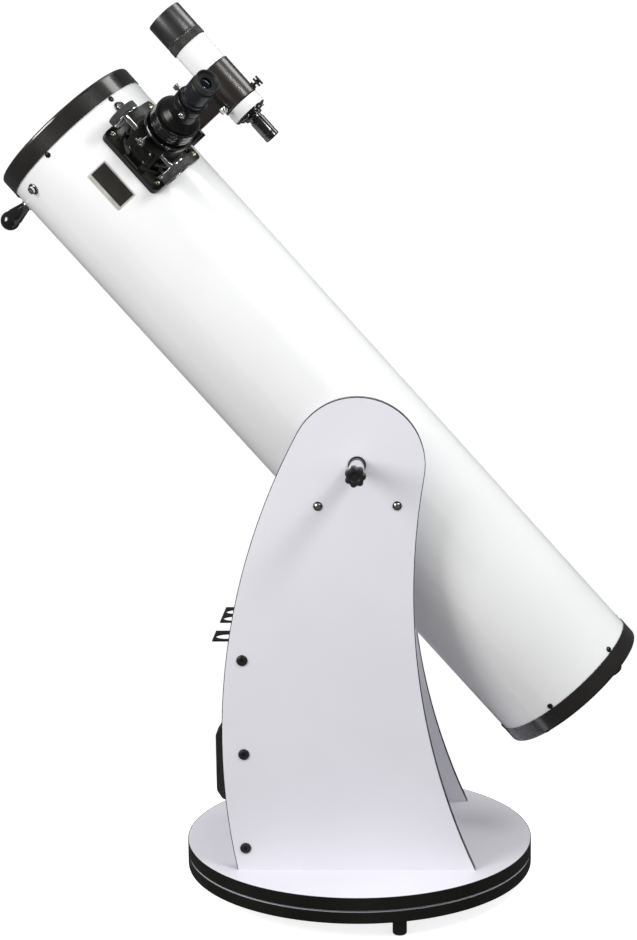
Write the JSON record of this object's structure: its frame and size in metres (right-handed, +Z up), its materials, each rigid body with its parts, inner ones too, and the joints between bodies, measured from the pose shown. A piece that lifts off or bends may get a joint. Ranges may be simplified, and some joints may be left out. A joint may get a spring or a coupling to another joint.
{
  "type": "dobsonian telescope",
  "caption": "Newtonian reflector on a two-board rocker box, with a rack focuser, finder scope and eyepiece rack.",
  "frame": {"origin": "on the ground, on the azimuth axis", "axes": "+Z up; +Y to the telescope's right; the tube's open end points to -X and up, and the carry handle faces -X"},
  "size_m": [0.9177, 0.533, 1.2925],
  "materials": {
    "laminate": "white melamine on chipboard, satin",
    "edge_band": "black edge band, satin",
    "black_plastic": "moulded black plastic, fine grain",
    "gloss_black": "gloss black",
    "nylon": "natural nylon and PTFE",
    "zinc_steel": "bright zinc plate",
    "black_metal": "black anodised die-cast or turned aluminium, satin",
    "ring_black": "black semi-gloss enamel on cast aluminium",
    "tube_white": "white gloss enamel on rolled steel",
    "finder_white": "white gloss enamel on aluminium",
    "chrome": "polished chrome",
    "mirror_glass": "aluminised glass",
    "lens_glass": "coated glass",
    "eyecup_rubber": "matt black rubber"
  },
  "bodies": {
    "ground_base": {"ground_board": "laminate", "ground_edge_band": "edge_band", "feet": "black_plastic", "azimuth_pads": "nylon", "azimuth_bolt": "zinc_steel"},
    "rocker_box": {"base_board": "laminate", "azimuth_bush": "nylon", "left_side_panel": "laminate", "right_side_panel": "laminate", "front_board": "laminate", "box_edge_bands": "edge_band", "box_screws": "zinc_steel", "bolt_caps": "black_plastic", "carry_handle": "black_plastic", "eyepiece_rack": "black_metal", "cross_head_screws": "zinc_steel", "support_cylinders": "nylon"},
    "optical_tube": {"tube": "tube_white", "front_ring": "ring_black", "rear_ring": "ring_black", "tube_screws": "black_metal", "altitude_bearings": "black_plastic", "tension_sleeves": "chrome", "spider_vanes": "black_metal", "spider_hub": "black_metal", "spider_screws": "chrome", "secondary_holder": "black_metal", "secondary_mirror": "mirror_glass", "primary_mirror": "mirror_glass", "mirror_cell": "black_metal", "tube_knob": "gloss_black", "focuser_base": "black_metal", "focuser_screws": "zinc_steel", "focuser_body": "black_metal", "finder_shoe": "black_metal"},
    "left_tension": {"left_tension_knob": "black_plastic"},
    "right_tension": {"right_tension_knob": "black_plastic"},
    "collimation_1": {"collimation_knob_1": "black_plastic"},
    "collimation_2": {"collimation_knob_2": "black_plastic"},
    "collimation_3": {"collimation_knob_3": "black_plastic"},
    "draw": {"drawtube": "black_metal", "eyepiece_adapter": "black_metal"},
    "focus_drive": {"focus_shaft": "chrome", "focus_knobs": "black_plastic"},
    "focus_lock": {"focus_lock_screw": "chrome"},
    "adapter_front": {"adapter_screw_front": "chrome"},
    "adapter_side": {"adapter_screw_side": "chrome"},
    "eyepiece": {"eyepiece_body": "black_metal", "eyecup": "eyecup_rubber", "eye_lens": "lens_glass"},
    "shoe_lock": {"shoe_screw": "chrome"},
    "finder_mount": {"finder_bracket": "black_metal"},
    "finder_top": {"finder_screw_top": "black_metal"},
    "finder_far": {"finder_screw_far": "black_metal"},
    "finder_spring": {"finder_plunger": "chrome"},
    "finder": {"finder_tube": "finder_white", "finder_eyepiece": "gloss_black"},
    "finder_front": {"finder_cell": "ring_black", "objective_lens": "lens_glass"},
    "finder_lock": {"finder_lock_ring": "black_metal"}
  },
  "joints": [
    {"name": "azimuth", "type": "hinge", "parent": "ground_base", "child": "rocker_box", "pos_m": [0, 0, 0.046], "axis": [0, 0, 1], "continuous": true},
    {"name": "altitude", "type": "hinge", "parent": "rocker_box", "child": "optical_tube", "pos_m": [0.006, 0, 0.649], "axis": [0, 1, 0], "range_deg": [-48.5, 41.5]},
    {"name": "left_tension_turn", "type": "hinge", "parent": "optical_tube", "child": "left_tension", "pos_m": [0.006, -0.2, 0.649], "axis": [0, -1, 0], "range_deg": [-180, 180]},
    {"name": "right_tension_turn", "type": "hinge", "parent": "optical_tube", "child": "right_tension", "pos_m": [0.006, 0.2, 0.649], "axis": [0, 1, 0], "range_deg": [-180, 180]},
    {"name": "collimation_1_turn", "type": "hinge", "parent": "optical_tube", "child": "collimation_1", "pos_m": [0.32704, 0.075, 0.28613], "axis": [-0.6626, 0, 0.749], "range_deg": [-180, 180]},
    {"name": "collimation_2_turn", "type": "hinge", "parent": "optical_tube", "child": "collimation_2", "pos_m": [0.27839, -0.0375, 0.24309], "axis": [-0.6626, 0, 0.749], "range_deg": [-180, 180]},
    {"name": "collimation_3_turn", "type": "hinge", "parent": "optical_tube", "child": "collimation_3", "pos_m": [0.37569, -0.0375, 0.32917], "axis": [-0.6626, 0, 0.749], "range_deg": [-180, 180]},
    {"name": "focus_slide", "type": "slide", "parent": "optical_tube", "child": "draw", "axis": [0.5277, -0.7096, 0.4669], "range_m": [-0.007, 0.029]},
    {"name": "focus_turn", "type": "hinge", "parent": "optical_tube", "child": "focus_drive", "pos_m": [-0.27161, -0.13309, 1.09035], "axis": [-0.6626, 0, 0.749], "range_deg": [-336, 84]},
    {"name": "focus_lock_turn", "type": "hinge", "parent": "optical_tube", "child": "focus_lock", "pos_m": [-0.27881, -0.14927, 1.09466], "axis": [-0.5314, -0.7046, -0.4702], "range_deg": [0, 270]},
    {"name": "adapter_front_turn", "type": "hinge", "parent": "draw", "child": "adapter_front", "pos_m": [-0.21961, -0.18058, 1.12861], "axis": [-0.3418, -0.6806, -0.648], "range_deg": [0, 360]},
    {"name": "adapter_side_turn", "type": "hinge", "parent": "draw", "child": "adapter_side", "pos_m": [-0.2268, -0.16533, 1.1599], "axis": [-0.6626, 0, 0.749], "range_deg": [0, 360]},
    {"name": "eyepiece_slide", "type": "slide", "parent": "draw", "child": "eyepiece", "axis": [0.5277, -0.7096, 0.4669], "range_m": [0, 0.035]},
    {"name": "finder_slide", "type": "slide", "parent": "optical_tube", "child": "finder_mount", "axis": [-0.6626, 0, 0.749], "range_m": [0, 0.06]},
    {"name": "shoe_screw_turn", "type": "hinge", "parent": "optical_tube", "child": "shoe_lock", "pos_m": [-0.23688, -0.024, 1.12575], "axis": [0, -1, 0], "range_deg": [0, 360]},
    {"name": "finder_tilt", "type": "hinge", "parent": "finder_mount", "child": "finder", "pos_m": [-0.19416, 0, 1.19292], "axis": [0.5296, -0.7071, 0.4685], "range_deg": [-1, 1]},
    {"name": "finder_top_slide", "type": "slide", "parent": "finder_mount", "child": "finder_top", "axis": [0.749, 0, 0.6626], "range_m": [-0.0007, 0.0007]},
    {"name": "finder_far_slide", "type": "slide", "parent": "finder_mount", "child": "finder_far", "axis": [0, 1, 0], "range_m": [-0.0007, 0.0007]},
    {"name": "finder_spring_slide", "type": "slide", "parent": "finder_mount", "child": "finder_spring", "axis": [-0.5296, -0.7071, -0.4685], "range_m": [-0.001, 0.001]},
    {"name": "finder_focus_slide", "type": "slide", "parent": "finder", "child": "finder_front", "axis": [-0.6626, 0, 0.749], "range_m": [0, 0.004]},
    {"name": "finder_lock_turn", "type": "hinge", "parent": "finder", "child": "finder_lock", "pos_m": [-0.23392, 0, 1.23785], "axis": [-0.6626, 0, 0.749], "range_deg": [-180, 180]}
  ],
  "couplings": [
    {"joint": "focus_turn", "follows": "focus_slide", "rad_per_m": -200},
    {"joint": "finder_top_slide", "follows": "finder_tilt", "m_per_rad": 0.034648},
    {"joint": "finder_far_slide", "follows": "finder_tilt", "m_per_rad": 0.034648},
    {"joint": "finder_spring_slide", "follows": "finder_tilt", "m_per_rad": -0.049}
  ]
}
